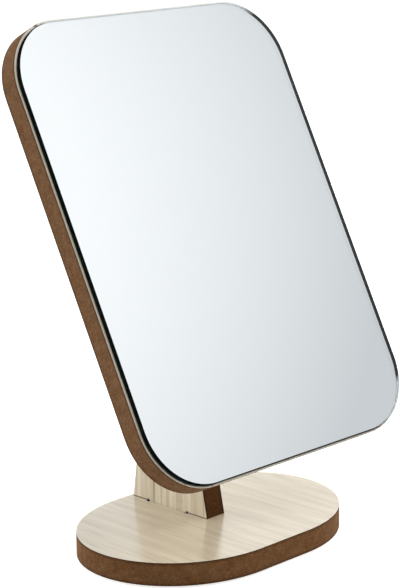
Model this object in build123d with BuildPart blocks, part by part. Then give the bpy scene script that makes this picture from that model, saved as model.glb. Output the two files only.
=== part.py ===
from build123d import *
from math import cos, radians, sin
import os

# Tabletop mirror. An oval base carries a tapered upright, and a mirror head tilts
# on a friction pivot near the top of the upright. Base, upright, ears and mirror
# board are cut from fibreboard with a thin wood-grain facing on both faces.
# Millimetres. +Z is up, -Y is the front, X runs along the base. The origin lies on
# the surface that the mirror stands on, under the middle of the base.

# ---- boards ----------------------------------------------------------------
facing_thickness = 0.6
base_board_thickness = 13.2
upright_board_thickness = 14.2
panel_board_thickness = 12.0

# ---- base ------------------------------------------------------------------
base_length = 167.0
base_depth = 115.0
base_end_length = 65.0
pad_inset = 5.0
pad_thickness = 1.5

# ---- upright ---------------------------------------------------------------
upright_foot_length = 60.0
upright_rear_inset = 2.0
upright_head_radius = 11.0
pivot_height = 108.0
pivot_setback = 32.8

# ---- tenon and mortise -----------------------------------------------------
tenon_setback = 16.5
tenon_length = 30.0
mortise_depth = 9.2
mortise_clearance = 0.1
tenon_end_gap = 0.3
relief_radius = 1.3

# ---- mirror head -----------------------------------------------------------
rest_tilt = 27.0
panel_width = 200.0
panel_height = 260.0
panel_corner_radius = 37.0
pivot_rise = 96.0
pivot_standoff = 45.0
glass_inset = 1.35
glass_thickness = 2.6
glass_edge_chamfer = 0.25
silvering_thickness = 0.15
tape_thickness = 0.25
tape_width = 20.0
tape_spacing = 46.0
tape_count = 4
tape_end_margin = 14.0

# ---- ears ------------------------------------------------------------------
ear_root_length = 90.0
ear_root_land = 8.0
ear_tip_radius = 11.0

# ---- pivot -----------------------------------------------------------------
bolt_radius = 3.0
bolt_head_radius = 7.5
bolt_head_thickness = 1.8
bolt_thread_reach = 7.0
key_width = 4.0
key_depth = 2.6
sleeve_radius = 4.0
sleeve_length = 9.0
sleeve_bore_depth = 7.6
washer_radius = 9.5
washer_thickness = 1.0
running_clearance = 0.06
washer_play = 0.05

# ---- screws ----------------------------------------------------------------
screw_radius = 1.75
screw_head_radius = 3.4
screw_length = 32.0
screw_edge_distance = 19.0
screw_clearance = 0.06
screw_head_recess = 0.1
sink_angle = 90.0

# ---- levels and positions worked out from the sizes above -------------------
base_underside = pad_thickness
base_top = base_underside + base_board_thickness
upright_rear = base_depth / 2 - upright_rear_inset
upright_front = upright_rear - upright_foot_length
tenon_middle = upright_front + tenon_setback + tenon_length / 2
ear_inner = upright_board_thickness / 2 + washer_play + washer_thickness
ear_outer = ear_inner + panel_board_thickness
ear_middle = (ear_inner + ear_outer) / 2
screw_offset = ear_root_length / 2 - screw_edge_distance
glass_back = panel_board_thickness + tape_thickness + silvering_thickness

# ---- planes of the tilted head ----------------------------------------------
pivot = Vector(0, upright_front + pivot_setback, base_top + pivot_height)
head_up = Vector(0, sin(radians(rest_tilt)), cos(radians(rest_tilt)))
head_front = Vector(0, -cos(radians(rest_tilt)), sin(radians(rest_tilt)))
panel_back = Plane(origin=pivot + head_front * pivot_standoff, x_dir=(1, 0, 0), z_dir=head_front)
panel_front = panel_back.offset(panel_board_thickness)
panel_middle = panel_height / 2 - pivot_rise


def head_plane(x):
    """Plane square to the pivot axis at x: local x runs up the panel, local y to its front."""
    return Plane(origin=pivot + Vector(x, 0, 0), x_dir=head_up, z_dir=(1, 0, 0))


def save(piece, name):
    """Label a finished piece and write it under its own name."""
    piece.part.label = name
    export_step(piece.part, f"parts/{name}.step")


def board_layers(name, start, thickness, lower, upper):
    """Facing, core and facing of one board, as (piece name, start, thickness)."""
    core_thickness = thickness - 2 * facing_thickness
    return [
        (f"{name}_{lower}_facing", start, facing_thickness),
        (f"{name}_core", start + facing_thickness, core_thickness),
        (f"{name}_{upper}_facing", start + facing_thickness + core_thickness, facing_thickness),
    ]


def oval(length, depth, end_length):
    """Oval outline: straight front and rear, half-ellipse ends."""
    straight = length / 2 - end_length
    with BuildSketch() as outline:
        with BuildLine():
            EllipticalCenterArc((straight, 0), end_length, depth / 2, -90, arc_size=180)
            Line((straight, depth / 2), (-straight, depth / 2))
            EllipticalCenterArc((-straight, 0), end_length, depth / 2, 90, arc_size=180)
            Line((-straight, -depth / 2), (straight, -depth / 2))
        make_face()
    return outline.sketch


def mortise():
    """Pocket for the tenon, with a round relief at each corner for the square tenon."""
    half_width = upright_board_thickness / 2 + mortise_clearance
    half_length = tenon_length / 2 + mortise_clearance
    with BuildSketch() as pocket:
        with Locations((0, tenon_middle)):
            Rectangle(2 * half_width, 2 * half_length)
            with GridLocations(2 * half_width, 2 * half_length, 2, 2):
                Circle(relief_radius)
    return pocket.sketch


def upright_profile():
    """Side view of the upright: foot, rounded head, and the tenon below the foot."""
    with BuildSketch() as profile:
        with BuildLine():
            CenterArc((pivot.Y, pivot.Z), upright_head_radius, 0, 360)
            Line((upright_front, base_top), (upright_rear, base_top))
        make_hull()
        with Locations((tenon_middle, base_top)):
            Rectangle(tenon_length, mortise_depth - tenon_end_gap, align=(Align.CENTER, Align.MAX))
    return profile.sketch


def ear_profile():
    """Side view of an ear: a wide root on the board, tapering to a round tip."""
    half_root = ear_root_length / 2
    with BuildSketch() as profile:
        with BuildLine():
            CenterArc((0, 0), ear_tip_radius, 0, 360)
            Polyline(
                (-half_root, pivot_standoff - ear_root_land),
                (-half_root, pivot_standoff),
                (half_root, pivot_standoff),
                (half_root, pivot_standoff - ear_root_land),
            )
        make_hull()
    return profile.sketch


def screw_holes():
    """Cut the countersunk holes of the ear screws, as deep as the piece goes along each screw."""
    with Locations(*screw_planes):
        CounterSinkHole(
            screw_radius + screw_clearance,
            screw_head_radius + screw_clearance + screw_head_recess,
            screw_length + screw_head_recess + screw_clearance,
            sink_angle,
        )


os.makedirs("parts", exist_ok=True)

# ---- where the ear screws enter the mirror board: two into each ear ------------
screw_planes = [
    Plane(
        origin=panel_front.from_local_coords((side * ear_middle, end * screw_offset, 0)),
        x_dir=(1, 0, 0),
        z_dir=head_front,
    )
    for side in (-1, 1)
    for end in (-1, 1)
]

# ---- base: two facings and a core, with the mortise for the upright -------------
base_outline = oval(base_length, base_depth, base_end_length)
mortise_outline = mortise()
base_layers = board_layers("base", base_underside, base_board_thickness, "bottom", "top")
for name, level, thickness in base_layers:
    with BuildPart() as base_layer:
        with BuildSketch(Plane.XY.offset(level)):
            add(base_outline)
        extrude(amount=thickness)
        with BuildSketch(Plane.XY.offset(base_top)):
            add(mortise_outline)
        extrude(amount=-mortise_depth, mode=Mode.SUBTRACT)
    save(base_layer, name)

# ---- foam sheet under the base -------------------------------------------------
pad_outline = oval(base_length - 2 * pad_inset, base_depth - 2 * pad_inset, base_end_length - pad_inset)
with BuildPart() as base_pad:
    with BuildSketch():
        add(pad_outline)
    extrude(amount=pad_thickness)
save(base_pad, "base_pad")

# ---- upright: two facings and a core, with the pivot hole, glued in by its tenon --
upright_outline = upright_profile()
upright_side = -upright_board_thickness / 2
upright_layers = board_layers("upright", upright_side, upright_board_thickness, "left", "right")
for name, start, thickness in upright_layers:
    with BuildPart() as upright_layer:
        with BuildSketch(Plane.YZ.offset(start)):
            add(upright_outline)
            with Locations((pivot.Y, pivot.Z)):
                Circle(bolt_radius + running_clearance, mode=Mode.SUBTRACT)
        extrude(amount=thickness)
    save(upright_layer, name)

# ---- mirror board: two facings and a core, with holes for the ear screws --------
panel_layers = board_layers("panel", 0, panel_board_thickness, "back", "front")
for name, start, thickness in panel_layers:
    with BuildPart() as panel_layer:
        with BuildSketch(panel_back.offset(start)):
            with Locations((0, panel_middle)):
                RectangleRounded(panel_width, panel_height, panel_corner_radius)
        extrude(amount=thickness)
        screw_holes()
    save(panel_layer, name)

# ---- mirror: tape strips, silvering and glass, stacked on the board --------------
mirror_width = panel_width - 2 * glass_inset
mirror_height = panel_height - 2 * glass_inset
mirror_corner_radius = panel_corner_radius - glass_inset
tape_length = mirror_height - 2 * tape_end_margin

with BuildPart() as mirror_tape:
    with BuildSketch(panel_front):
        with Locations((0, panel_middle)):
            with GridLocations(tape_spacing, 0, tape_count, 1):
                Rectangle(tape_width, tape_length)
    extrude(amount=tape_thickness)
save(mirror_tape, "mirror_tape")

with BuildPart() as mirror_silvering:
    with BuildSketch(panel_front.offset(tape_thickness)):
        with Locations((0, panel_middle)):
            RectangleRounded(mirror_width, mirror_height, mirror_corner_radius)
    extrude(amount=silvering_thickness)
save(mirror_silvering, "mirror_silvering")

with BuildPart() as mirror_glass:
    with BuildSketch(panel_back.offset(glass_back)):
        with Locations((0, panel_middle)):
            RectangleRounded(mirror_width, mirror_height, mirror_corner_radius)
    extrude(amount=glass_thickness)
    front_edges = mirror_glass.faces().filter_by(panel_front).sort_by(Axis(pivot, head_front))[-1].edges()
    chamfer(front_edges, glass_edge_chamfer)
save(mirror_glass, "mirror_glass")

# ---- ears: one board on each side of the upright ---------------------------------
ear_outline = ear_profile()
ear_sides = {
    "left": (-ear_outer, "outer", "inner", bolt_radius),
    "right": (ear_inner, "inner", "outer", sleeve_radius),
}
for side, (ear_start, lower, upper, shaft_radius) in ear_sides.items():
    ear_layers = board_layers(f"ear_{side}", ear_start, panel_board_thickness, lower, upper)
    for name, start, thickness in ear_layers:
        with BuildPart() as ear_layer:
            with BuildSketch(head_plane(start)):
                add(ear_outline)
                Circle(shaft_radius + running_clearance, mode=Mode.SUBTRACT)
            extrude(amount=thickness)
            screw_holes()
        save(ear_layer, name)

# ---- ear screws: flat heads just under the board's front, shanks into the ears ------
with BuildPart() as ear_screws:
    with BuildSketch(*[plane.offset(-screw_head_recess) for plane in screw_planes]):
        Circle(screw_radius)
    extrude(amount=-screw_length)
    with BuildSketch(*[plane.offset(-screw_head_recess) for plane in screw_planes]):
        Circle(screw_head_radius)
    extrude(amount=screw_radius - screw_head_radius, taper=sink_angle / 2)
save(ear_screws, "ear_screws")

# ---- pivot: bolt from the left, sleeve nut from the right, washer on each side ----
sleeve_mouth = ear_outer - sleeve_length
with BuildPart() as pivot_bolt:
    with BuildSketch(head_plane(-ear_outer)):
        Circle(bolt_head_radius)
    extrude(amount=-bolt_head_thickness)
    with BuildSketch(head_plane(-ear_outer)):
        Circle(bolt_radius)
    extrude(amount=ear_outer + sleeve_mouth + bolt_thread_reach)
    with BuildSketch(head_plane(-ear_outer - bolt_head_thickness)):
        RegularPolygon(key_width / 2, 6, major_radius=False)
    extrude(amount=key_depth, mode=Mode.SUBTRACT)
save(pivot_bolt, "pivot_bolt")

with BuildPart() as pivot_sleeve_nut:
    with BuildSketch(head_plane(ear_outer)):
        Circle(bolt_head_radius)
    extrude(amount=bolt_head_thickness)
    with BuildSketch(head_plane(ear_outer)):
        Circle(sleeve_radius)
    extrude(amount=-sleeve_length)
    with BuildSketch(head_plane(sleeve_mouth)):
        Circle(bolt_radius + running_clearance)
    extrude(amount=sleeve_bore_depth, mode=Mode.SUBTRACT)
    with BuildSketch(head_plane(ear_outer + bolt_head_thickness)):
        RegularPolygon(key_width / 2, 6, major_radius=False)
    extrude(amount=-key_depth, mode=Mode.SUBTRACT)
save(pivot_sleeve_nut, "pivot_sleeve_nut")

for side, washer_start in (("left", -ear_inner), ("right", ear_inner - washer_thickness)):
    with BuildPart() as friction_washer:
        with BuildSketch(head_plane(washer_start)):
            Circle(washer_radius)
            Circle(bolt_radius + running_clearance, mode=Mode.SUBTRACT)
        extrude(amount=washer_thickness)
    save(friction_washer, f"friction_washer_{side}")
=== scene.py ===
import logging
from dataclasses import dataclass, field
from enum import Enum
from math import cos, radians, sin
from typing import Mapping, Union

import bmesh
import bpy
from mathutils import Matrix, Vector


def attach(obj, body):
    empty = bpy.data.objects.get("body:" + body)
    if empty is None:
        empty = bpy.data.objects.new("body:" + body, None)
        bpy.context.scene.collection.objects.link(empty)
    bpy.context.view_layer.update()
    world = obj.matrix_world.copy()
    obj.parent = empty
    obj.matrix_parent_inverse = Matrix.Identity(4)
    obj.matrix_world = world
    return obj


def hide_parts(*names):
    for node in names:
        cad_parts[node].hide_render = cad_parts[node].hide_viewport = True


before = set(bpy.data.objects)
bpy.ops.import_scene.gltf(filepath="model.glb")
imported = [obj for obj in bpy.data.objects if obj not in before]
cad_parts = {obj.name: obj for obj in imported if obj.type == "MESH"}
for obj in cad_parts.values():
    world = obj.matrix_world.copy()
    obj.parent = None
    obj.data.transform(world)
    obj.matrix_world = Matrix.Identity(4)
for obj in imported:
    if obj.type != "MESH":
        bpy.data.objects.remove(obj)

log = logging.getLogger("tabletop mirror")

Socket = bpy.types.NodeSocket
NodeTree = bpy.types.NodeTree
Material = bpy.types.Material
Object = bpy.types.Object
Shape = bmesh.types.BMesh
Colour = tuple[float, float, float, float]
Feed = Union[Socket, float, int, tuple, Vector]
Feeds = Mapping[Union[str, int], Feed]
Sockets = Mapping[str, Socket]

# The head's pivot and its lean at rest, as in the CAD model. Metres and radians.
PIVOT = Vector((0.0, 0.0283, 0.1227))
REST_TILT = radians(27)
HEAD_UP = Vector((0.0, sin(REST_TILT), cos(REST_TILT)))
HEAD_FRONT = Vector((0.0, -cos(REST_TILT), sin(REST_TILT)))
LEFT = Vector((-1.0, 0.0, 0.0))
RIGHT = Vector((1.0, 0.0, 0.0))
REAR = Vector((0.0, 1.0, 0.0))
UP = Vector((0.0, 0.0, 1.0))

# Copies of CAD nodes: how close points merge, what counts as flat, as an edge, as smooth, as
# looking one way and as a side. Then the faces across a softened edge and its reach on foils.
MERGE_DISTANCE = 1e-6
FLAT_ANGLE = radians(0.5)
EDGE_ANGLE = radians(35)
SMOOTH_ANGLE = radians(50)
SAME_WAY = 0.99
SIDE_SHARE = 0.5
BEVEL_SEGMENTS = 3
FOIL_EDGE = 0.00022
EDGE_LAYER = "softened_edge"


def shown(red: int, green: int, blue: int) -> Colour:
    """Turn a colour as shown on a screen into the linear one that a shader takes.

    Args:
        red: Red from 0 to 255.
        green: Green from 0 to 255.
        blue: Blue from 0 to 255.

    Returns:
        Linear red, green, blue and an alpha of 1.
    """
    linear = []
    for level in (red, green, blue):
        share = level / 255
        linear.append(share / 12.92 if share <= 0.04045 else ((share + 0.055) / 1.055) ** 2.4)
    return (linear[0], linear[1], linear[2], 1.0)


class Body(Enum):
    """The two bodies that the pivot joins."""

    STAND = "stand"
    HEAD = "mirror_head"


class Slot(Enum):
    """The material slots of the record."""

    FACING = "facing"
    FIBREBOARD = "fibreboard"
    PAD = "pad"
    SCREW = "screw"
    BOLT = "bolt"
    WASHER = "washer"
    TAPE = "tape"
    SILVERING = "silvering"
    GLASS = "glass"


class Effect(Enum):
    """Surface effects that several finishes share."""

    WOOD_GRAIN = "wood grain"
    FIBRE = "fibre speckle"
    EDGE_WEAR = "edge wear"
    HANDLING = "handling marks"


# ---- nodes ----


class Sheet:
    """A node tree, with short calls that place its nodes and join them."""

    def __init__(self, tree: NodeTree) -> None:
        """Keep the tree that the nodes go into."""
        self.tree = tree

    @classmethod
    def clean(cls, owner: Material | bpy.types.World) -> "Sheet":
        """Give the emptied node tree of a material or world."""
        owner.use_nodes = True
        owner.node_tree.nodes.clear()
        return cls(owner.node_tree)

    def feed(self, socket: Socket, value: Feed) -> None:
        """Link an output to a socket, or set the socket's own value.

        Args:
            socket: The input to feed.
            value: An output, or the value itself.
        """
        if isinstance(value, Socket):
            self.tree.links.new(value, socket)
        else:
            socket.default_value = value

    def place(self, kind: str, feeds: Feeds | None = None, **settings: object) -> bpy.types.Node:
        """Place one node.

        Args:
            kind: Blender's name of the node type.
            feeds: Value or output for each input, by its name or number.
            **settings: The node's own settings.

        Returns:
            The new node.
        """
        node = self.tree.nodes.new(kind)
        for name, value in settings.items():
            setattr(node, name, value)
        for key, value in (feeds or {}).items():
            self.feed(node.inputs[key], value)
        return node

    def math(self, operation: str, *values: Feed) -> Socket:
        """Give the result of one Math node."""
        return self.place("ShaderNodeMath", dict(enumerate(values)), operation=operation).outputs[0]

    def times(self, first: Feed, second: Feed) -> Socket:
        """Multiply two values."""
        return self.math("MULTIPLY", first, second)

    def vectors(self, operation: str, first: Feed, second: Feed) -> Sockets:
        """Give the outputs of one Vector Math node."""
        return self.place("ShaderNodeVectorMath", {0: first, 1: second}, operation=operation).outputs

    def stretch(self, vector: Feed, factors: Feed) -> Socket:
        """Scale a vector's three parts."""
        return self.vectors("MULTIPLY", vector, factors)["Vector"]

    def parts(self, vector: Feed) -> Sockets:
        """Give a vector's X, Y and Z."""
        return self.place("ShaderNodeSeparateXYZ", {0: vector}).outputs

    def join(self, x: Feed = 0.0, y: Feed = 0.0, z: Feed = 0.0) -> Socket:
        """Make a vector of three parts."""
        return self.place("ShaderNodeCombineXYZ", {"X": x, "Y": y, "Z": z}).outputs[0]

    def noise(
        self, vector: Feed, scale: Feed, detail: float = 3.0, rough: float = 0.5, seed: Feed = 0.0
    ) -> Socket:
        """Give a cloud of values around 0.5.

        Args:
            vector: Where to read it, in metres.
            scale: Blobs per metre.
            detail: Octaves of finer clouds.
            rough: Strength of the finer clouds.
            seed: Another number gives another cloud.

        Returns:
            The cloud's value.
        """
        feeds = {"Vector": vector, "W": seed, "Scale": scale, "Detail": detail, "Roughness": rough}
        return self.place("ShaderNodeTexNoise", feeds, noise_dimensions="4D").outputs[0]

    def ramp(
        self, value: Feed, low: float, high: float, start: Feed = 0.0, end: Feed = 1.0, soft: bool = False
    ) -> Socket:
        """Carry a value from the range low to high over to the range start to end."""
        feeds = {"Value": value, "From Min": low, "From Max": high, "To Min": start, "To Max": end}
        kind = "SMOOTHSTEP" if soft else "LINEAR"
        return self.place("ShaderNodeMapRange", feeds, interpolation_type=kind).outputs[0]

    def blend(self, share: Feed, first: Feed, second: Feed) -> Socket:
        """Mix two colours by a share from 0 to 1."""
        return self.place("ShaderNodeMix", {0: share, 6: first, 7: second}, data_type="RGBA").outputs[2]

    def bump(self, height: Feed, depth: float, strength: float) -> Socket:
        """Turn a height into a normal, for relief as deep as depth in metres."""
        feeds = {"Height": height, "Distance": depth, "Strength": strength}
        return self.place("ShaderNodeBump", feeds).outputs[0]

    def place_on_piece(self) -> Socket:
        """Give the place on the piece at rest, in metres."""
        return self.place("ShaderNodeTexCoord").outputs["Object"]

    def edge_mask(self) -> Socket:
        """Give 1 on softened edges and 0 elsewhere."""
        return self.place("ShaderNodeAttribute", attribute_name=EDGE_LAYER).outputs["Fac"]

    def effect(self, effect: Effect, feeds: Feeds) -> Sockets:
        """Place a shared effect, and give its outputs by name."""
        return self.place("ShaderNodeGroup", feeds, node_tree=EffectShelf.take(effect)).outputs


class EffectShelf:
    """Builds each shared effect once, as a node group."""

    # How far the grain wanders sideways, in metres, and how many fibres, lines and patches
    # of lines there are to one streak.
    WANDER = 0.006
    FIBRES = 7.0
    LINES = 1.7
    PATCHES = 0.25
    # Mottle and flecks crowd this much against the clouds.
    FLECK_CROWDING = 0.8
    CLOUD_CROWDING = 0.1

    @classmethod
    def take(cls, effect: Effect) -> NodeTree:
        """Give an effect's node group, and build it on first use.

        Args:
            effect: Which effect.

        Returns:
            Its node group.
        """
        found = bpy.data.node_groups.get(effect.value)
        if found:
            return found
        makers = {
            Effect.WOOD_GRAIN: cls._wood_grain,
            Effect.FIBRE: cls._fibre,
            Effect.EDGE_WEAR: cls._edge_wear,
            Effect.HANDLING: cls._handling,
        }
        return makers[effect]()

    @staticmethod
    def _open(
        effect: Effect, inputs: Mapping[str, float], outputs: tuple[str, ...]
    ) -> tuple[Sheet, Sockets, Sockets]:
        """Start a group with a Vector input and number inputs.

        Args:
            effect: The effect that it makes.
            inputs: First value of each number input.
            outputs: Names of the number outputs.

        Returns:
            The sheet to place nodes on, what comes in, and what goes out.
        """
        tree = bpy.data.node_groups.new(effect.value, "ShaderNodeTree")
        tree.interface.new_socket(name="Vector", in_out="INPUT", socket_type="NodeSocketVector")
        for label, value in inputs.items():
            socket = tree.interface.new_socket(name=label, in_out="INPUT", socket_type="NodeSocketFloat")
            socket.default_value = value
        for label in outputs:
            tree.interface.new_socket(name=label, in_out="OUTPUT", socket_type="NodeSocketFloat")
        entry = tree.nodes.new("NodeGroupInput")
        leave = tree.nodes.new("NodeGroupOutput")
        return Sheet(tree), entry.outputs, leave.inputs

    @classmethod
    def _wood_grain(cls) -> NodeTree:
        """Give the group of long streaks, thin broken lines and fine fibres along local Y."""
        numbers = {"Streaks": 240.0, "Along": 0.035, "Seed": 0.0}
        sheet, given, out = cls._open(Effect.WOOD_GRAIN, numbers, ("Streaks", "Lines", "Fibres"))
        seed, count = given["Seed"], given["Streaks"]
        slow = sheet.noise(sheet.stretch(given["Vector"], (1.0, 0.35, 1.0)), 16.0, 2.0, 0.5, seed)
        drift = sheet.ramp(slow, 0.0, 1.0, -cls.WANDER, cls.WANDER)
        bent = sheet.vectors("ADD", given["Vector"], sheet.join(drift))["Vector"]
        along = sheet.stretch(bent, sheet.join(1.0, given["Along"], 1.0))
        streaks = sheet.noise(along, count, 5.0, 0.6, seed)
        sheet.feed(out["Streaks"], sheet.ramp(streaks, 0.3, 0.7))
        fibres = sheet.noise(along, sheet.times(count, cls.FIBRES), 3.0, 0.6, seed)
        sheet.feed(out["Fibres"], sheet.ramp(fibres, 0.3, 0.7))
        thin = sheet.noise(along, sheet.times(count, cls.LINES), 2.0, 0.45, seed)
        lines = sheet.ramp(thin, 0.56, 0.7, soft=True)
        where = sheet.noise(along, sheet.times(count, cls.PATCHES), 2.0, 0.5, seed)
        sheet.feed(out["Lines"], sheet.times(lines, sheet.ramp(where, 0.4, 0.62, 0.1, 1.0)))
        return sheet.tree

    @classmethod
    def _fibre(cls) -> NodeTree:
        """Give the group of a sawn fibreboard edge's mottle, flecks and clouds."""
        numbers = {"Fineness": 1500.0, "Seed": 0.0}
        sheet, given, out = cls._open(Effect.FIBRE, numbers, ("Mottle", "Flecks", "Clouds"))
        fine = given["Fineness"]
        mottle = sheet.noise(given["Vector"], fine, 4.0, 0.65, given["Seed"])
        sheet.feed(out["Mottle"], sheet.ramp(mottle, 0.3, 0.7))
        feeds = {"Vector": given["Vector"], "Scale": sheet.times(fine, cls.FLECK_CROWDING)}
        cells = sheet.place("ShaderNodeTexVoronoi", feeds).outputs["Color"]
        one = sheet.place("ShaderNodeSeparateColor", {0: cells}).outputs[0]
        sheet.feed(out["Flecks"], sheet.ramp(one, 0.72, 1.0))
        clouds = sheet.noise(given["Vector"], sheet.times(fine, cls.CLOUD_CROWDING), 3.0, 0.5)
        sheet.feed(out["Clouds"], sheet.ramp(clouds, 0.35, 0.65))
        return sheet.tree

    @classmethod
    def _edge_wear(cls) -> NodeTree:
        """Give the group of rubbed spots on softened edges."""
        numbers = {"Edge": 0.0, "Spots": 400.0, "Amount": 0.5}
        sheet, given, out = cls._open(Effect.EDGE_WEAR, numbers, ("Wear",))
        spots = sheet.noise(given["Vector"], given["Spots"], 4.0, 0.6)
        limit = sheet.ramp(given["Amount"], 0.0, 1.0, 0.75, 0.25)
        worn = sheet.math("GREATER_THAN", spots, limit)
        part = sheet.ramp(spots, 0.3, 0.8, 0.25, 1.0)
        sheet.feed(out["Wear"], sheet.times(given["Edge"], sheet.times(worn, part)))
        return sheet.tree

    @classmethod
    def _handling(cls) -> NodeTree:
        """Give the group of smudges and fine scratches left by hands and cloths."""
        numbers = {"Smudges": 30.0, "Seed": 0.0}
        sheet, given, out = cls._open(Effect.HANDLING, numbers, ("Smudge", "Scratch"))
        where, seed = given["Vector"], given["Seed"]
        smudge = sheet.noise(where, given["Smudges"], 4.0, 0.55, seed)
        sheet.feed(out["Smudge"], sheet.ramp(smudge, 0.35, 0.7))
        first = sheet.noise(sheet.stretch(where, (1.0, 0.06, 0.4)), 1800.0, 2.0, 0.5, seed)
        second = sheet.noise(sheet.stretch(where, (0.08, 1.0, 0.5)), 1500.0, 2.0, 0.5, seed)
        both = sheet.math("MAXIMUM", first, second)
        sheet.feed(out["Scratch"], sheet.ramp(both, 0.66, 0.78))
        return sheet.tree


# ---- finishes ----


@dataclass(frozen=True)
class BoardFrame:
    """Where a board's middle is, and how its grain and thickness lie.

    On the board's own coordinates Y runs along the grain and Z through the thickness.
    """

    middle: Vector
    grain: Vector
    through: Vector

    def read(self, sheet: Sheet) -> Socket:
        """Read the place on the piece in the board's own coordinates.

        Args:
            sheet: Where the nodes go.

        Returns:
            The place, in metres.
        """
        across = self.grain.cross(self.through)
        turn = Matrix((across, self.grain, self.through)).transposed().to_euler("XYZ")
        feeds = {
            "Vector": sheet.place_on_piece(),
            "Location": tuple(self.middle),
            "Rotation": tuple(turn),
        }
        return sheet.place("ShaderNodeMapping", feeds, vector_type="TEXTURE").outputs[0]


@dataclass(frozen=True)
class Finish:
    """A named material, whose nodes the finishes below lay out."""

    name: str

    def make(self) -> Material:
        """Make the material.

        Returns:
            The new material, with a Principled shader that the finish has dressed.
        """
        material = bpy.data.materials.new(self.name)
        sheet = Sheet.clean(material)
        shader = sheet.place("ShaderNodeBsdfPrincipled", self.dress(sheet))
        sheet.place("ShaderNodeOutputMaterial", {"Surface": shader.outputs[0]})
        return material

    def dress(self, sheet: Sheet) -> Feeds:
        """Lay out the nodes. Each finish has its own way.

        Args:
            sheet: Where the nodes go.

        Returns:
            What feeds the shader's sockets.
        """
        raise NotImplementedError


@dataclass(frozen=True)
class BoardFinish(Finish):
    """Finish of a board, which may carry the board's own dirt or painted shade."""

    board: BoardFrame

    def soiled_or_shaded(self, sheet: Sheet, where: Socket, colour: Socket) -> Socket:
        """Lay the board's own dirt or painted shade on its colour. Most boards have none.

        Args:
            sheet: Where the nodes go.
            where: The place in the board's own coordinates.
            colour: The clean colour, without dirt or painted shade.

        Returns:
            The colour with its dirt or painted shade.
        """
        return colour


@dataclass(frozen=True)
class FacingFinish(BoardFinish):
    """Pale wood-grain foil, satin, with thin broken lines along the grain."""

    light: Colour
    shade: Colour
    line: Colour
    line_share: float
    seed: float
    roughness: float = field(default=0.3, kw_only=True)
    varnish: float = field(default=0.0, kw_only=True)
    streaks: float = field(default=240.0, kw_only=True)
    along: float = field(default=0.035, kw_only=True)

    # What all foils share.
    RUBBED = shown(238, 230, 212)
    SMUDGES = 26.0
    WORN_SPOTS = 500.0
    FIBRE_SHARE = 0.16
    WEAR_SHARE = 0.5
    WEAR_DULLS = 0.25
    GLOSSIER, DULLER = -0.03, 0.04
    RELIEF = 0.00002

    def dress(self, sheet: Sheet) -> Feeds:
        """Lay streaks and lines in the colour, fibres in the relief, and rub the edges paler."""
        where = self.board.read(sheet)
        feeds = {"Vector": where, "Streaks": self.streaks, "Along": self.along, "Seed": self.seed}
        grain = sheet.effect(Effect.WOOD_GRAIN, feeds)
        feeds = {"Vector": where, "Smudges": self.SMUDGES, "Seed": self.seed}
        marks = sheet.effect(Effect.HANDLING, feeds)
        feeds = {"Vector": where, "Edge": sheet.edge_mask(), "Spots": self.WORN_SPOTS, "Amount": 0.5}
        wear = sheet.effect(Effect.EDGE_WEAR, feeds)["Wear"]
        base = sheet.blend(grain["Streaks"], self.light, self.shade)
        fibred = sheet.blend(sheet.times(grain["Fibres"], self.FIBRE_SHARE), base, self.line)
        lined = sheet.blend(sheet.times(grain["Lines"], self.line_share), fibred, self.line)
        worn = sheet.blend(sheet.times(wear, self.WEAR_SHARE), lined, self.RUBBED)
        glossy, dull = self.roughness + self.GLOSSIER, self.roughness + self.DULLER
        satin = sheet.ramp(marks["Smudge"], 0.0, 1.0, glossy, dull)
        relief = sheet.math("SUBTRACT", sheet.times(grain["Fibres"], 0.3), grain["Lines"])
        return {
            "Base Color": self.soiled_or_shaded(sheet, where, worn),
            "Roughness": sheet.math("ADD", satin, sheet.times(wear, self.WEAR_DULLS)),
            "Coat Weight": self.varnish,
            "Coat Roughness": self.roughness,
            "Normal": sheet.bump(relief, self.RELIEF, 0.5),
        }


@dataclass(frozen=True)
class UprightFacingFinish(FacingFinish):
    """Foil of the upright, with painted shade in a dark open seam under its two shoulders and by the relief
    holes.
    """

    # Colour of the painted shade in the open seam and by the relief holes.
    joint_shade: Colour
    foot: float
    tenon_offset: float
    tenon_half: float

    # Heights of the painted shade in the open seam and by the relief holes above the foot: where each
    # starts to fade, and where it ends. Then a hole's middle beyond the tenon, and its half width.
    # Metres.
    JOINT_SHADE_HEIGHTS = (0.0003, 0.0007)
    HOLE_SHADE_HEIGHTS = (0.0008, 0.0012)
    HOLE_OFFSET = 0.0006
    HOLE_HALF = 0.0009

    def soiled_or_shaded(self, sheet: Sheet, where: Socket, colour: Socket) -> Socket:
        """Paint shade on the foil's lowest line outside the tenon, and on its spots by the relief holes."""
        parts = sheet.parts(where)
        low, higher = [
            sheet.ramp(parts["Y"], self.foot + full, self.foot + none, 1.0, 0.0)
            for full, none in (self.JOINT_SHADE_HEIGHTS, self.HOLE_SHADE_HEIGHTS)
        ]
        away = sheet.math("ABSOLUTE", sheet.math("SUBTRACT", parts["X"], self.tenon_offset))
        outside = sheet.math("GREATER_THAN", away, self.tenon_half)
        beside = sheet.math("SUBTRACT", away, self.tenon_half + self.HOLE_OFFSET)
        hole = sheet.math("LESS_THAN", sheet.math("ABSOLUTE", beside), self.HOLE_HALF)
        dark = sheet.math("MAXIMUM", sheet.times(low, outside), sheet.times(higher, hole))
        # Painted shade in the open seam and by the relief holes.
        return sheet.blend(dark, colour, self.joint_shade)


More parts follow.
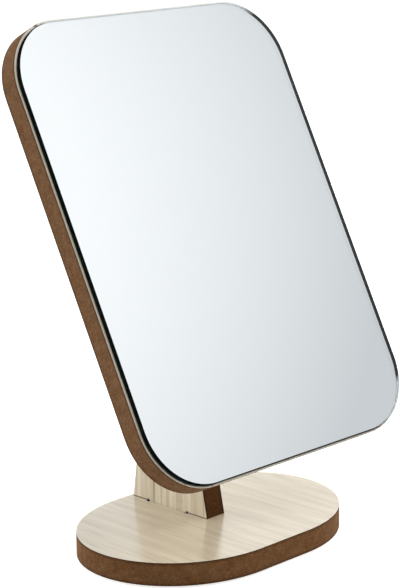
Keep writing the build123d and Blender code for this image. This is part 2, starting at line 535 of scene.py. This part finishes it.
@dataclass(frozen=True)
class MirrorBoardFrontFinish(FacingFinish):
    """Front foil of the mirror board, with a dark line of tape and painted shade round the glass."""

    joint_shade: Colour
    half_width: float
    half_height: float
    corner: float

    # The width of the dark line of tape and painted shade above and below, wider below where the
    # glass shades the rim, how far it fades to each side, and where it has its full width below. Then
    # a nick in the rim that bares the brown board. Metres.
    TAPE_AND_SHADE_WIDTHS = (0.0001, 0.00045)
    TAPE_AND_SHADE_FADE = 0.0001
    BELOW_FULL = 0.004
    NICK = (-0.0743, 0.1279, 0.0)
    NICK_REACH = (0.00098, 0.00168)
    BARE = shown(92, 70, 55)

    def soiled_or_shaded(self, sheet: Sheet, where: Socket, colour: Socket) -> Socket:
        """Paint a dark line of tape and shade along the glass's outline, wider below, and bare the brown
        board at one small nick.
        """
        parts = sheet.parts(where)
        reach = []
        for axis, half in (("X", self.half_width), ("Y", self.half_height)):
            reach.append(sheet.math("SUBTRACT", sheet.math("ABSOLUTE", parts[axis]), half - self.corner))
        squares = [sheet.math("POWER", sheet.math("MAXIMUM", one, 0.0), 2.0) for one in reach]
        outside = sheet.math("SQRT", sheet.math("ADD", squares[0], squares[1]))
        inside = sheet.math("MINIMUM", sheet.math("MAXIMUM", reach[0], reach[1]), 0.0)
        away = sheet.math("SUBTRACT", sheet.math("ADD", outside, inside), self.corner)
        bottom = -self.half_height
        below = sheet.ramp(parts["Y"], self.corner + bottom, self.BELOW_FULL + bottom)
        width = sheet.ramp(below, 0.0, 1.0, *self.TAPE_AND_SHADE_WIDTHS)
        beyond = sheet.math("SUBTRACT", away, width)
        near = sheet.ramp(beyond, -self.TAPE_AND_SHADE_FADE, self.TAPE_AND_SHADE_FADE, 1.0, 0.0)
        # Painted shade with the tape's dark line round the glass, wider below it.
        tape_and_shade_lined = sheet.blend(near, colour, self.joint_shade)
        level = sheet.join(parts["X"], parts["Y"])
        gap = sheet.vectors("DISTANCE", level, self.NICK)["Value"]
        bare = sheet.ramp(gap, *self.NICK_REACH, 0.85, 0.0)
        return sheet.blend(bare, tape_and_shade_lined, self.BARE)


@dataclass(frozen=True)
class FibreboardFinish(BoardFinish):
    """Raw sawn fibreboard edge: matt brown, speckled, denser and darker near both faces."""

    half_thickness: float
    body: Colour
    dark: Colour
    pale: Colour
    seed: float

    # What all sawn edges share: the fineness of the speckle, the shares of dark mottle, pale
    # clouds, pale flecks and dark bands, where the bands start and end, shine and relief.
    FINENESS = 2100.0
    MOTTLE_SHARE = 0.8
    CLOUD_SHARE = 0.22
    FLECK_SHARE = 0.4
    BAND_SHARE = 0.55
    BAND_START, BAND_END = 0.72, 0.98
    SHINE = 0.12
    RELIEF = 0.00008

    def dress(self, sheet: Sheet) -> Feeds:
        """Lay speckle and clouds in the colour, a dense dark band by each face, a felty relief."""
        where = self.board.read(sheet)
        feeds = {"Vector": where, "Fineness": self.FINENESS, "Seed": self.seed}
        fibre = sheet.effect(Effect.FIBRE, feeds)
        level = sheet.parts(where)["Z"]
        depth = sheet.math("DIVIDE", sheet.math("ABSOLUTE", level), self.half_thickness)
        ragged = sheet.math("ADD", depth, sheet.ramp(fibre["Mottle"], 0.0, 1.0, -0.05, 0.05))
        dense = sheet.ramp(ragged, self.BAND_START, self.BAND_END, soft=True)
        mottled = sheet.blend(sheet.times(fibre["Mottle"], self.MOTTLE_SHARE), self.body, self.dark)
        clouded = sheet.blend(sheet.times(fibre["Clouds"], self.CLOUD_SHARE), mottled, self.pale)
        flecked = sheet.blend(sheet.times(fibre["Flecks"], self.FLECK_SHARE), clouded, self.pale)
        banded = sheet.blend(sheet.times(dense, self.BAND_SHARE), flecked, self.dark)
        relief = sheet.math("ADD", fibre["Mottle"], fibre["Flecks"])
        return {
            "Base Color": self.soiled_or_shaded(sheet, where, banded),
            "Roughness": sheet.ramp(fibre["Mottle"], 0.0, 1.0, 0.78, 0.95),
            "Specular IOR Level": self.SHINE,
            "Normal": sheet.bump(relief, self.RELIEF, 0.6),
        }


@dataclass(frozen=True)
class MortisedFibreboardFinish(FibreboardFinish):
    """Fibreboard whose mortise walls are dark with glue, dust and painted shade."""

    mortise_middle: float
    mortise_half: Vector

    # Dark of glue and dust, and painted shade in the recesses.
    DUST_AND_SHADE = shown(24, 16, 10)

    def soiled_or_shaded(self, sheet: Sheet, where: Socket, colour: Socket) -> Socket:
        """Paint what lies inside the mortise and its relief holes dark, with glue, dust and shade."""
        parts = sheet.parts(where)
        across = sheet.math("LESS_THAN", sheet.math("ABSOLUTE", parts["X"]), self.mortise_half.x)
        offset = sheet.math("ABSOLUTE", sheet.math("SUBTRACT", parts["Y"], self.mortise_middle))
        along = sheet.math("LESS_THAN", offset, self.mortise_half.y)
        return sheet.blend(sheet.times(across, along), colour, self.DUST_AND_SHADE)


@dataclass(frozen=True)
class ClearGlassFinish(Finish):
    """Polished front of the mirror glass."""

    def dress(self, sheet: Sheet) -> Feeds:
        """Give clear glass, with the very faint uneven green that real glass has."""
        cloud = sheet.noise(sheet.place_on_piece(), 6.0, 2.0)
        tint = sheet.blend(cloud, (0.976, 0.992, 0.996, 1.0), (0.984, 0.997, 1.0, 1.0))
        return {"Base Color": tint, "Roughness": 0.0, "IOR": 1.52, "Transmission Weight": 1.0}


@dataclass(frozen=True)
class SilverFinish(Finish):
    """Silver on the back of the glass, which gives the reflection."""

    def dress(self, sheet: Sheet) -> Feeds:
        """Give smooth metal with a cloud too faint to see."""
        cloud = sheet.noise(sheet.place_on_piece(), 9.0, 2.0)
        tone = sheet.blend(cloud, (0.964, 0.979, 0.992, 1.0), (0.974, 0.989, 1.0, 1.0))
        return {"Base Color": tone, "Metallic": 1.0, "Roughness": 0.0}


@dataclass(frozen=True)
class GlassEdgeFinish(BoardFinish):
    """Sides and chamfer of the glass: the long way through makes them green, nearly black.

    Painted light, with a faint glow of its own, makes the top and the lower right corner pale.
    """

    top: float

    DARK = shown(12, 17, 14)
    STREAK = shown(40, 47, 42)
    # Painted light: pale tones and a faint glow of their own where light would come in by the edge.
    PAINTED_TOP_LIGHT = shown(224, 228, 228)
    PAINTED_CORNER_LIGHT = shown(214, 218, 218)
    NO_GLOW = (0.0, 0.0, 0.0, 1.0)
    PAINTED_GLOW = (0.3, 0.31, 0.31, 1.0)
    # Where the painted light goes, standing for light that comes in by the edge. Depths below the top:
    # all of it, and at the right. Then the lower right corner: heights above the bottom, and places
    # across. Each from nothing to full.
    CREST = (0.0015, 0.0003)
    SHOULDER = (0.0095, 0.0035)
    CORNER_HEIGHTS = (0.0245, 0.0205)
    CORNER_ACROSS = (0.066, 0.08)

    def dress(self, sheet: Sheet) -> Feeds:
        """Lay grinding streaks on green black, and painted light with a faint glow where light would come
        in by the edge.
        """
        where = self.board.read(sheet)
        streaks = sheet.noise(sheet.stretch(where, (1.0, 1.0, 0.1)), 900.0, 4.0, 0.7)
        spots = sheet.noise(where, 240.0, 3.0)
        share = sheet.times(sheet.ramp(streaks, 0.45, 0.75), sheet.ramp(spots, 0.3, 0.7))
        tone = sheet.blend(share, self.DARK, self.STREAK)
        parts = sheet.parts(where)
        crest, shoulder = [
            sheet.ramp(parts["Y"], self.top - none, self.top - full)
            for none, full in (self.CREST, self.SHOULDER)
        ]
        on_right = sheet.math("GREATER_THAN", parts["X"], 0.0)
        # Painted light along the top, reaching further down on the right.
        above = sheet.math("MAXIMUM", crest, sheet.times(shoulder, on_right))
        none, full = self.CORNER_HEIGHTS
        low = sheet.ramp(parts["Y"], full - self.top, none - self.top, 1.0, 0.0)
        corner = sheet.times(low, sheet.ramp(parts["X"], *self.CORNER_ACROSS))
        corner_lit = sheet.blend(corner, tone, self.PAINTED_CORNER_LIGHT)
        # A faint painted glow on the same zones.
        glow = sheet.times(sheet.math("MAXIMUM", above, corner), 0.6)
        return {
            "Base Color": sheet.blend(above, corner_lit, self.PAINTED_TOP_LIGHT),
            "Emission Color": sheet.blend(glow, self.NO_GLOW, self.PAINTED_GLOW),
            "Emission Strength": 1.0,
            "Roughness": sheet.ramp(streaks, 0.3, 0.7, 0.06, 0.14),
            "Specular IOR Level": 0.0,
        }


@dataclass(frozen=True)
class PlainFinish(Finish):
    """A solid-coloured material with speckle, smudges, scratches and rubbed edges.

    It serves metal, nylon, tape, paint and foam, each with its own values.
    """

    tone: Colour
    mark: Colour
    rubbed: Colour
    roughness: float
    metallic: float = 0.0
    speckle: float = 0.2
    fineness: float = 2500.0
    relief: float = 0.00001
    wear: float = 0.3

    # What all of them share.
    SMUDGES = 90.0
    WORN_SPOTS = 900.0
    SCRATCH_SHARE = 0.35
    GLOSSIER, DULLER = -0.06, 0.08

    def dress(self, sheet: Sheet) -> Feeds:
        """Lay speckle and marks in the colour, smudges in the gloss, fine relief."""
        where = sheet.place_on_piece()
        fibre = sheet.effect(Effect.FIBRE, {"Vector": where, "Fineness": self.fineness})
        marks = sheet.effect(Effect.HANDLING, {"Vector": where, "Smudges": self.SMUDGES})
        feeds = {"Vector": where, "Edge": sheet.edge_mask(), "Spots": self.WORN_SPOTS, "Amount": self.wear}
        wear = sheet.effect(Effect.EDGE_WEAR, feeds)["Wear"]
        speckled = sheet.blend(sheet.times(fibre["Mottle"], self.speckle), self.tone, self.mark)
        marked = sheet.blend(sheet.times(marks["Scratch"], self.SCRATCH_SHARE), speckled, self.mark)
        low, high = max(self.roughness + self.GLOSSIER, 0.02), min(self.roughness + self.DULLER, 1.0)
        height = sheet.math("SUBTRACT", fibre["Mottle"], marks["Scratch"])
        return {
            "Base Color": sheet.blend(wear, marked, self.rubbed),
            "Roughness": sheet.ramp(marks["Smudge"], 0.0, 1.0, low, high),
            "Metallic": self.metallic,
            "Normal": sheet.bump(height, self.relief, 0.6),
        }


FOIL_EDGE_LOOK = {
    "half_thickness": 0.0065,
    "body": shown(92, 62, 36),
    "dark": shown(56, 36, 20),
    "pale": shown(126, 96, 64),
    "seed": 4.0,
}

# Zinc of the screws, nickel of the pivot's bolt and nut, nylon of its washers, foam rubber under
# the base, foam tape behind the glass, and the paint on the glass's silver.
ZINC = PlainFinish(
    "zinc plating",
    tone=shown(196, 188, 160),
    mark=shown(150, 140, 112),
    rubbed=shown(222, 218, 205),
    roughness=0.3,
    metallic=1.0,
)
NICKEL = PlainFinish(
    "nickel plating",
    tone=shown(205, 203, 198),
    mark=shown(160, 157, 150),
    rubbed=shown(235, 234, 230),
    roughness=0.22,
    metallic=1.0,
    speckle=0.15,
)
NYLON = PlainFinish(
    "nylon",
    tone=shown(226, 222, 210),
    mark=shown(196, 190, 172),
    rubbed=shown(240, 238, 232),
    roughness=0.45,
    fineness=1600.0,
)
FOAM_RUBBER = PlainFinish(
    "foam rubber",
    tone=shown(52, 52, 54),
    mark=shown(22, 22, 24),
    rubbed=shown(92, 92, 94),
    roughness=0.88,
    speckle=0.8,
    fineness=2200.0,
    relief=0.00012,
)
FOAM_TAPE = PlainFinish(
    "foam tape",
    tone=shown(220, 219, 212),
    mark=shown(184, 182, 172),
    rubbed=shown(236, 235, 230),
    roughness=0.8,
    speckle=0.4,
    relief=0.00004,
)
MIRROR_PAINT = PlainFinish(
    "mirror back paint",
    tone=shown(112, 118, 122),
    mark=shown(84, 90, 94),
    rubbed=shown(168, 172, 174),
    roughness=0.55,
    speckle=0.35,
)


def foil_edge(board: BoardFrame) -> Material:
    """Make the cut edge of a board's foils, darker than the board between them."""
    return FibreboardFinish("foil cut edge", board=board, **FOIL_EDGE_LOOK).make()


# ---- shapes ----


def put_in_scene(name: str, data: bpy.types.ID) -> Object:
    """Make an object of its data, and put it in the scene."""
    made = bpy.data.objects.new(name, data)
    bpy.context.scene.collection.objects.link(made)
    return made


def clean_copy(node: str) -> Shape:
    """Copy a CAD node's mesh, with its points merged and its flat faces whole again.

    Args:
        node: Name of the CAD node.

    Returns:
        A bmesh that the caller finishes with keep_mesh.
    """
    shape = bmesh.new()
    shape.from_mesh(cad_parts[node].data)
    bmesh.ops.remove_doubles(shape, verts=shape.verts, dist=MERGE_DISTANCE)
    bmesh.ops.dissolve_limit(
        shape,
        angle_limit=FLAT_ANGLE,
        use_dissolve_boundaries=False,
        verts=shape.verts,
        edges=shape.edges,
        delimit=set(),
    )
    shape.faces.layers.float.new(EDGE_LAYER)
    return shape


def soften(shape: Shape, edges: list, width: float) -> None:
    """Round the given edges, and mark the new faces for the edge wear.

    Args:
        shape: The mesh to change.
        edges: Edges to round.
        width: How far the rounding reaches, in metres.
    """
    made = bmesh.ops.bevel(
        shape,
        geom=edges,
        offset=width,
        offset_type="OFFSET",
        segments=BEVEL_SEGMENTS,
        profile=0.5,
        affect="EDGES",
        clamp_overlap=True,
        material=-1,
    )
    layer = shape.faces.layers.float[EDGE_LAYER]
    for face in made["faces"]:
        face[layer] = 1.0


def sharp_edges(shape: Shape, outward: Vector | None = None) -> list:
    """Find sharp edges.

    Args:
        shape: The mesh to look through.
        outward: Only edges of faces that look this way, or None for all.

    Returns:
        The edges.
    """
    found = []
    for edge in shape.edges:
        if not edge.is_manifold or edge.calc_face_angle() < EDGE_ANGLE:
            continue
        if outward is None or any(face.normal.dot(outward) > SAME_WAY for face in edge.link_faces):
            found.append(edge)
    return found


def keep_mesh(shape: Shape, name: str, body: Body) -> Object:
    """Turn a bmesh into a finished piece that rides on its body.

    Args:
        shape: The mesh, which is freed.
        name: The piece's name.
        body: The body that it moves with.

    Returns:
        The new object.
    """
    shape.normal_update()
    for face in shape.faces:
        face.smooth = True
    mesh = bpy.data.meshes.new(name)
    shape.to_mesh(mesh)
    shape.free()
    if "custom_normal" in mesh.attributes:
        mesh.attributes.remove(mesh.attributes["custom_normal"])
    mesh.set_sharp_from_angle(angle=SMOOTH_ANGLE)
    piece = put_in_scene(name, mesh)
    flats = piece.modifiers.new("flat faces stay flat", "WEIGHTED_NORMAL")
    flats.keep_sharp = True
    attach(piece, body.value)
    return piece


def paint(piece: Object, *materials: Material) -> None:
    """Give a piece or a CAD node its materials, in the order of its faces' numbers."""
    # To clear the list also sets every face's number to 0, so an empty one is left alone.
    if piece.data.materials:
        piece.data.materials.clear()
    for material in materials:
        piece.data.materials.append(material)
    log.info("%s: %s", piece.name, ", ".join(material.name for material in materials))


def rounded_piece(
    node: str,
    name: str,
    body: Body,
    material: Material,
    width: float,
    outward: Vector | None = None,
    cut_edge: Material | None = None,
) -> None:
    """Replace a CAD node by a copy with softened edges.

    Args:
        node: The CAD node.
        name: The new piece's name.
        body: The body that it moves with.
        material: Its material.
        width: Reach of the softened edges, in metres.
        outward: Soften only the edges of faces that look this way, or None for all.
        cut_edge: Material of the sides of a sheet that outward is square to.
    """
    shape = clean_copy(node)
    soften(shape, sharp_edges(shape, outward), width)
    if cut_edge is not None and outward is not None:
        for face in shape.faces:
            face.material_index = int(abs(face.normal.dot(outward)) < SIDE_SHARE)
    piece = keep_mesh(shape, name, body)
    paint(piece, *[one for one in (material, cut_edge) if one])
    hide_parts(node)


def lay_foil(board_side: str, body: Body, facing: Material, outward: Vector, cut_edge: Material) -> None:
    """Replace the facing on one side of a board by a foil with softened edges.

    Args:
        board_side: The board and the side, as in the CAD node's name.
        body: The body that it moves with.
        facing: Material of its face.
        outward: The way that the side looks.
        cut_edge: Material of its cut edge.
    """
    node, name = f"{board_side}_facing", f"{board_side}_foil"
    rounded_piece(node, name, body, facing, FOIL_EDGE, outward, cut_edge)


# ---- sub-assemblies ----


@dataclass
class Base:
    """Oval base: a faced fibreboard with the upright's mortise, on a foam sheet."""

    board_middle: float = 0.0081
    core_half: float = 0.006
    mortise_middle: float = 0.027
    mortise_half: Vector = Vector((0.0095, 0.0172))
    pad_edge: float = 0.0003

    def build(self) -> None:
        """Build and dress the base."""
        board = BoardFrame(Vector((0, 0, self.board_middle)), REAR, UP)
        facing = FacingFinish(
            "base facing",
            board=board,
            light=shown(237, 227, 207),
            shade=shown(205, 191, 163),
            line=shown(172, 154, 124),
            line_share=0.34,
            roughness=0.2,
            seed=3.0,
            varnish=0.6,
            streaks=170.0,
            along=0.08,
        ).make()
        place = {"board": board, "mortise_middle": self.mortise_middle, "mortise_half": self.mortise_half}
        # Both paint the mortise and its relief holes dark: glue, dust and painted shade.
        core = MortisedFibreboardFinish(
            "base board edge",
            half_thickness=self.core_half,
            body=shown(122, 82, 47),
            dark=shown(72, 43, 19),
            pale=shown(162, 126, 88),
            seed=1.0,
            **place,
        ).make()
        cut = MortisedFibreboardFinish("base foil cut edge", **FOIL_EDGE_LOOK, **place).make()
        for side, outward in (("top", UP), ("bottom", -UP)):
            lay_foil(f"base_{side}", Body.STAND, facing, outward, cut)
        paint(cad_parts["base_core"], core)
        foam = FOAM_RUBBER.make()
        rounded_piece("base_pad", "base_foam_sheet", Body.STAND, foam, self.pad_edge)


@dataclass
class Upright:
    """Tapered board on edge with a rounded head, its tenon glued into the base."""

    board_middle: Vector = Vector((0, 0.0255, 0.07))
    core_half: float = 0.0065
    shoulder: float = 0.0147
    tenon_middle: float = 0.027
    tenon_half: float = 0.0152

    def build(self) -> None:
        """Build and dress the upright."""
        board = BoardFrame(self.board_middle, UP, RIGHT)
        facing = UprightFacingFinish(
            "upright facing",
            board=board,
            light=shown(241, 230, 208),
            shade=shown(188, 173, 142),
            line=shown(118, 101, 72),
            line_share=0.95,
            seed=7.0,
            # Painted shade in the open seam under the shoulders and by the relief holes.
            joint_shade=shown(34, 26, 12),
            foot=self.shoulder - self.board_middle.z,
            tenon_offset=self.tenon_middle - self.board_middle.y,
            tenon_half=self.tenon_half,
        ).make()
        # Painted shade: this board edge is a darker copy of the fibreboard, for the shade under the mirror
        # head.
        core = FibreboardFinish(
            "upright shaded board edge",
            board=board,
            half_thickness=self.core_half,
            body=shown(93, 57, 26),
            dark=shown(50, 28, 10),
            pale=shown(120, 84, 49),
            seed=2.0,
        ).make()
        cut = foil_edge(board)
        for side, outward in (("left", LEFT), ("right", RIGHT)):
            lay_foil(f"upright_{side}", Body.STAND, facing, outward, cut)
        paint(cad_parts["upright_core"], core)


@dataclass
class MirrorPanel:
    """Faced board of the mirror head, with tape, paint, silver and glass on its front."""

    board_lift: float = 0.034
    board_depth: float = 0.006
    standoff: float = 0.045
    core_half: float = 0.0054
    silver_margin: float = 0.00005
    silver_lift: float = 0.0001
    half_width: float = 0.09865
    half_height: float = 0.12865
    corner: float = 0.03565

    def board(self) -> BoardFrame:
        """Give the frame of the tilted board."""
        middle = PIVOT + HEAD_FRONT * (self.standoff + self.board_depth) + HEAD_UP * self.board_lift
        return BoardFrame(middle, HEAD_UP, HEAD_FRONT)

    def build(self) -> None:
        """Build and dress the mirror board and everything on its front."""
        board = self.board()
        look = {
            "board": board,
            "light": shown(250, 243, 228),
            "shade": shown(232, 221, 198),
            "line": shown(166, 150, 116),
            "line_share": 0.6,
            "seed": 11.0,
        }
        back_foil = FacingFinish("mirror board back foil", **look).make()
        front_foil = MirrorBoardFrontFinish(
            "mirror board front foil",
            # Painted shade with the dark line of tape round the glass.
            joint_shade=shown(34, 31, 27),
            half_width=self.half_width,
            half_height=self.half_height,
            corner=self.corner,
            **look,
        ).make()
        core = FibreboardFinish(
            "mirror board edge",
            board=board,
            half_thickness=self.core_half,
            body=shown(126, 88, 56),
            dark=shown(78, 50, 28),
            pale=shown(160, 128, 94),
            seed=5.0,
        ).make()
        cut = foil_edge(board)
        for side, outward, foil in (("back", -HEAD_FRONT, back_foil), ("front", HEAD_FRONT, front_foil)):
            lay_foil(f"panel_{side}", Body.HEAD, foil, outward, cut)
        paint(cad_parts["panel_core"], core)
        paint(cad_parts["mirror_tape"], FOAM_TAPE.make())
        paint(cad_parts["mirror_silvering"], MIRROR_PAINT.make())
        self._glass(board)

    def _glass(self, board: BoardFrame) -> None:
        """Make the glass: clear front, dark chamfer and sides, silver on the back.

        Args:
            board: The frame of the board behind it.
        """
        shape = clean_copy("mirror_glass")
        back = [face for face in shape.faces if face.normal.dot(HEAD_FRONT) < -SAME_WAY]
        bmesh.ops.inset_region(shape, faces=back, thickness=self.silver_margin, use_even_offset=True)
        silvered = {vert for face in back for vert in face.verts}
        bmesh.ops.translate(shape, verts=list(silvered), vec=HEAD_FRONT * self.silver_lift)
        bmesh.ops.recalc_face_normals(shape, faces=shape.faces)
        clear, dark, silver = range(3)
        for face in shape.faces:
            if face.normal.dot(HEAD_FRONT) > SAME_WAY:
                face.material_index = clear
            else:
                face.material_index = silver if face in back else dark
        glass = keep_mesh(shape, "mirror_glass_sheet", Body.HEAD)
        glass.modifiers.clear()
        for face in glass.data.polygons:
            face.use_smooth = face.material_index == dark
        paint(
            glass,
            ClearGlassFinish("clear glass").make(),
            GlassEdgeFinish("polished glass edge", board, self.half_height).make(),
            SilverFinish("silver behind glass").make(),
        )
        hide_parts("mirror_glass")


@dataclass
class Ears:
    """Two faced boards on the back of the mirror board, one each side of the upright."""

    middle: float = 0.01415
    core_half: float = 0.0054

    def build(self) -> None:
        """Build and dress both ears and their screws."""
        for side, outward, foil_seed, core_seed in (("left", LEFT, 17.0, 8.0), ("right", RIGHT, 23.0, 9.0)):
            board = BoardFrame(PIVOT + outward * self.middle, HEAD_UP, RIGHT)
            facing = FacingFinish(
                f"{side} ear facing",
                board=board,
                light=shown(238, 226, 204),
                shade=shown(212, 198, 170),
                line=shown(158, 142, 108),
                line_share=0.7,
                seed=foil_seed,
            ).make()
            core = FibreboardFinish(
                f"{side} ear board edge",
                board=board,
                half_thickness=self.core_half,
                body=shown(120, 80, 48),
                dark=shown(72, 44, 24),
                pale=shown(156, 120, 84),
                seed=core_seed,
            ).make()
            cut = foil_edge(board)
            for layer, way in (("outer", outward), ("inner", -outward)):
                lay_foil(f"ear_{side}_{layer}", Body.HEAD, facing, way, cut)
            paint(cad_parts[f"ear_{side}_core"], core)
        paint(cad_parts["ear_screws"], ZINC.make())


@dataclass
class Pivot:
    """Friction pivot: connector bolt, sleeve nut and a nylon washer on each side."""

    head_edge: float = 0.0005
    washer_edge: float = 0.00015

    def build(self) -> None:
        """Build and dress the pivot's four pieces."""
        plating = NICKEL.make()
        plastic = NYLON.make()
        for node, name, outward in (
            ("pivot_bolt", "pivot_connector_bolt", LEFT),
            ("pivot_sleeve_nut", "pivot_socket_nut", RIGHT),
        ):
            rounded_piece(node, name, Body.HEAD, plating, self.head_edge, outward)
        for side in ("left", "right"):
            name = f"friction_disc_{side}"
            node = f"friction_washer_{side}"
            rounded_piece(node, name, Body.HEAD, plastic, self.washer_edge)


# ---- studio ----


@dataclass(frozen=True)
class PhotoCamera:
    """Camera that sees the object as the photograph does."""

    azimuth: float = radians(-45.066)
    elevation: float = radians(13.578)
    roll: float = radians(-0.745)
    distance: float = 1.0968
    aim_height: float = 0.1215
    aim_right: float = -0.00403
    aim_up: float = 0.02075
    focal_pixels: float = 1985.43
    long_side_pixels: float = 588.0
    sensor: float = 36.0

    def build(self) -> None:
        """Place the camera and make it the scene's."""
        level = cos(self.elevation)
        back = Vector((sin(self.azimuth) * level, -cos(self.azimuth) * level, sin(self.elevation)))
        right = (-back).cross(UP).normalized()
        up = right.cross(-back)
        rolled_right = right * cos(self.roll) + up * sin(self.roll)
        rolled_up = up * cos(self.roll) - right * sin(self.roll)
        aim = Vector((0, 0, self.aim_height)) + right * self.aim_right + up * self.aim_up
        lens = bpy.data.cameras.new("photo camera")
        lens.sensor_width = self.sensor
        lens.lens = self.focal_pixels * self.sensor / self.long_side_pixels
        lens.clip_start, lens.clip_end = 0.05, 60.0
        camera = put_in_scene("photo camera", lens)
        turn = Matrix((rolled_right, rolled_up, back)).transposed().to_4x4()
        camera.matrix_world = Matrix.Translation(aim + back * self.distance) @ turn
        bpy.context.scene.camera = camera


@dataclass(frozen=True)
class Lamp:
    """A square soft lamp that looks at the object."""

    name: str
    place: Vector
    side: float
    power: float
    aim: Vector = Vector((0, 0, 0.12))

    def build(self) -> None:
        """Hang the lamp."""
        light = bpy.data.lights.new(self.name, "AREA")
        light.shape = "SQUARE"
        light.size = self.side
        light.energy = self.power
        lamp = put_in_scene(self.name, light)
        way = (self.place - self.aim).normalized()
        turn = way.to_track_quat("Z", "Y").to_matrix().to_4x4()
        lamp.matrix_world = Matrix.Translation(self.place) @ turn


@dataclass(frozen=True)
class Studio:
    """White studio: pale floor, even surround, and soft lamps."""

    floor_radius: float = 14.0
    floor_sides: int = 96
    floor_tone: float = 0.8
    surround: float = 0.59
    front_surround: float = 0.058
    front: Vector = Vector((-0.43, -0.86, -0.27))
    front_reach: tuple[float, float] = (-0.2, 0.75)
    glow: float = 0.71
    bright_middle: Vector = Vector((0.5386, -0.643, 0.5444))
    bright_reach: tuple[float, float] = (0.9577, 0.99)
    grey_reach: tuple[float, float] = (0.78, 0.92)
    bright: Colour = shown(254, 255, 255)
    grey: Colour = shown(205, 208, 210)

    def build(self) -> None:
        """Set up the floor, the surround and the lamps."""
        bpy.context.scene.view_settings.view_transform = "Standard"
        self._floor()
        self._surround()
        Lamp("front lamp", Vector((0.3, -1.4, 1.7)), 1.2, 19.0).build()
        Lamp("side lamp", Vector((-2.0, -0.4, 0.9)), 1.4, 1.6).build()
        Lamp("rear side lamp", Vector((-1.5, 1.7, 0.5)), 0.9, 15.5).build()
        Lamp("low rear lamp", Vector((-0.8, 2.0, 0.25)), 0.8, 12.0).build()
        Lamp("right lamp", Vector((2.2, -0.1, 0.9)), 1.3, 27.0).build()
        Lamp("back lamp", Vector((1.9, 1.8, 1.1)), 1.6, 2.0).build()

    def _floor(self) -> None:
        """Lay a pale floor that shows white, with the object's soft shadow."""
        shape = bmesh.new()
        bmesh.ops.create_circle(shape, cap_ends=True, radius=self.floor_radius, segments=self.floor_sides)
        mesh = bpy.data.meshes.new("studio floor")
        shape.to_mesh(mesh)
        shape.free()
        floor = put_in_scene("studio floor", mesh)
        material = bpy.data.materials.new("studio floor")
        sheet = Sheet.clean(material)
        rays = sheet.place("ShaderNodeLightPath").outputs
        seen = sheet.math("MAXIMUM", rays["Is Camera Ray"], rays["Is Glossy Ray"])
        seen = sheet.math("MAXIMUM", seen, rays["Is Transmission Ray"])
        tone = (self.floor_tone, self.floor_tone, self.floor_tone, 1.0)
        matt = sheet.place("ShaderNodeBsdfDiffuse", {"Color": tone})
        glow = sheet.place("ShaderNodeEmission", {"Strength": sheet.times(seen, self.glow)})
        both = sheet.place("ShaderNodeAddShader", {0: matt.outputs[0], 1: glow.outputs[0]})
        sheet.place("ShaderNodeOutputMaterial", {"Surface": both.outputs[0]})
        paint(floor, material)

    def _surround(self) -> None:
        """Surround the object with even light, seen white, and reflected as a soft gradient."""
        world = bpy.data.worlds.new("studio surround")
        bpy.context.scene.world = world
        sheet = Sheet.clean(world)
        rays = sheet.place("ShaderNodeLightPath").outputs
        way = sheet.place("ShaderNodeTexCoord").outputs["Generated"]
        toward = sheet.vectors("DOT_PRODUCT", way, tuple(self.bright_middle))["Value"]
        falloff = sheet.ramp(toward, *self.bright_reach, 1.0, 0.0)
        share = sheet.times(falloff, sheet.ramp(toward, *self.grey_reach, soft=True))
        sky = sheet.blend(share, self.bright, self.grey)
        mirrored = sheet.math("MAXIMUM", rays["Is Glossy Ray"], rays["Is Transmission Ray"])
        ahead = sheet.vectors("DOT_PRODUCT", way, tuple(self.front))["Value"]
        strength = sheet.ramp(ahead, *self.front_reach, self.surround, self.front_surround)
        even = sheet.place("ShaderNodeBackground", {"Color": (1, 1, 1, 1), "Strength": strength})
        gradient = sheet.place("ShaderNodeBackground", {"Color": sky})
        white = sheet.place("ShaderNodeBackground", {"Color": (1, 1, 1, 1)})
        feeds = {0: mirrored, 1: even.outputs[0], 2: gradient.outputs[0]}
        first = sheet.place("ShaderNodeMixShader", feeds)
        feeds = {0: rays["Is Camera Ray"], 1: first.outputs[0], 2: white.outputs[0]}
        last = sheet.place("ShaderNodeMixShader", feeds)
        sheet.place("ShaderNodeOutputWorld", {"Surface": last.outputs[0]})


def main() -> None:
    """Build the mirror from its base upwards, then the studio around it."""
    logging.basicConfig(level=logging.INFO, format="%(message)s")
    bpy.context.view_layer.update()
    for part in (Base(), Upright(), MirrorPanel(), Ears(), Pivot()):
        part.build()
        log.info("built %s", type(part).__name__)
    PhotoCamera().build()
    Studio().build()


if __name__ == "__main__":
    main()
